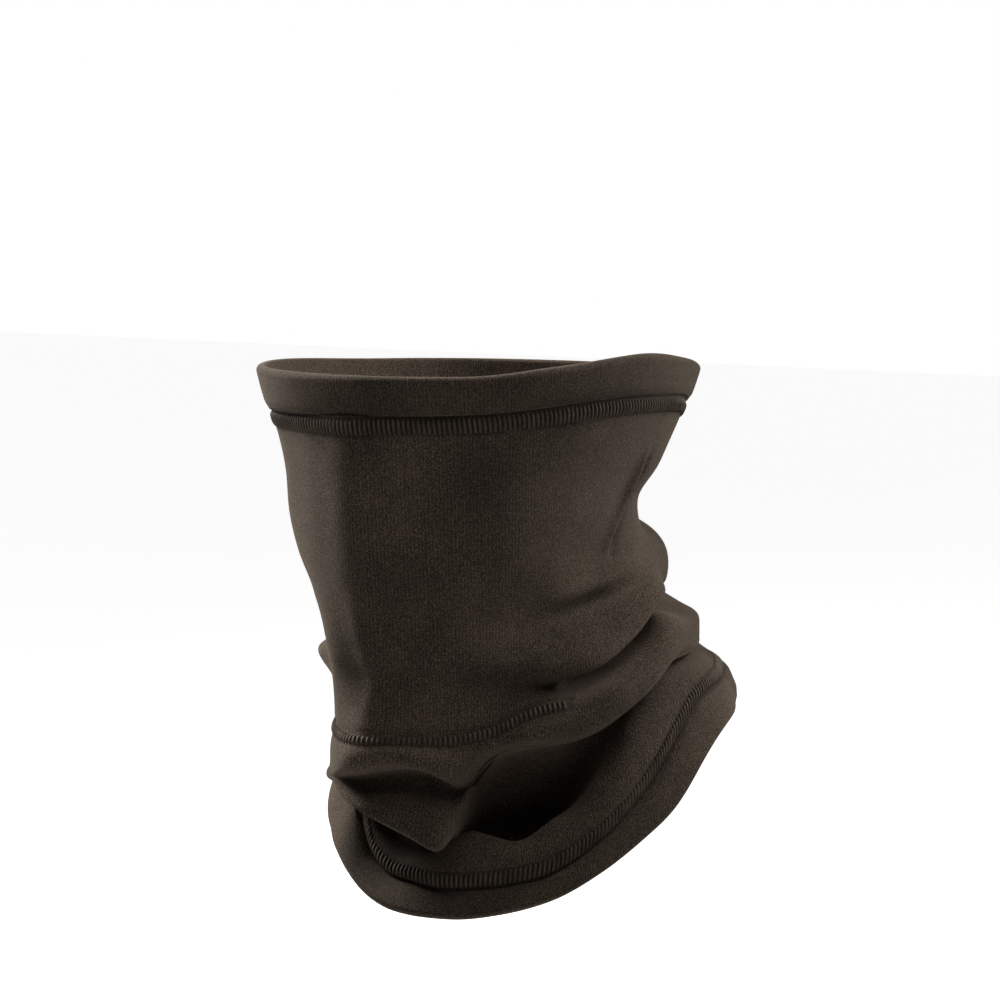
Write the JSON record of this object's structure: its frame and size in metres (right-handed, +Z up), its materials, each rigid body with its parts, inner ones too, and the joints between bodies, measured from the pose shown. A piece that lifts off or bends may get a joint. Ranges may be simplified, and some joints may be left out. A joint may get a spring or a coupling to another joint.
{
  "type": "neck gaiter",
  "caption": "Sewn fleece tube that covers the neck, chin and nose, with a doubled band at each opening and a curved seam under the chin.",
  "frame": {"origin": "centre of the lower (neck) opening, in the plane of its edge", "axes": "+Z up the head, -Y the way the face looks, +X the wearer's left"},
  "size_m": [0.1676, 0.2363, 0.211],
  "materials": {
    "fleece": "brushed fleece, dark brown-charcoal, short dense pile with faint vertical knit columns",
    "band_fleece": "the same fleece, doubled, with a soft folded edge",
    "seam_thread": "matt textured sewing thread, tone on tone",
    "label_cloth": "blank woven ribbon, dark grey",
    "label_thread": "matt sewing thread"
  },
  "bodies": {
    "root": {"shell": "fleece", "top_band": "band_fleece", "bottom_band": "band_fleece", "top_seam_face_thread": "seam_thread", "top_seam_back_thread": "seam_thread", "bottom_seam_face_thread": "seam_thread", "bottom_seam_back_thread": "seam_thread", "chin_dart_face_thread": "seam_thread", "chin_dart_back_thread": "seam_thread", "back_seam_face_thread": "seam_thread", "back_seam_back_thread": "seam_thread", "care_label": "label_cloth", "label_stitch": "label_thread"}
  },
  "joints": []
}
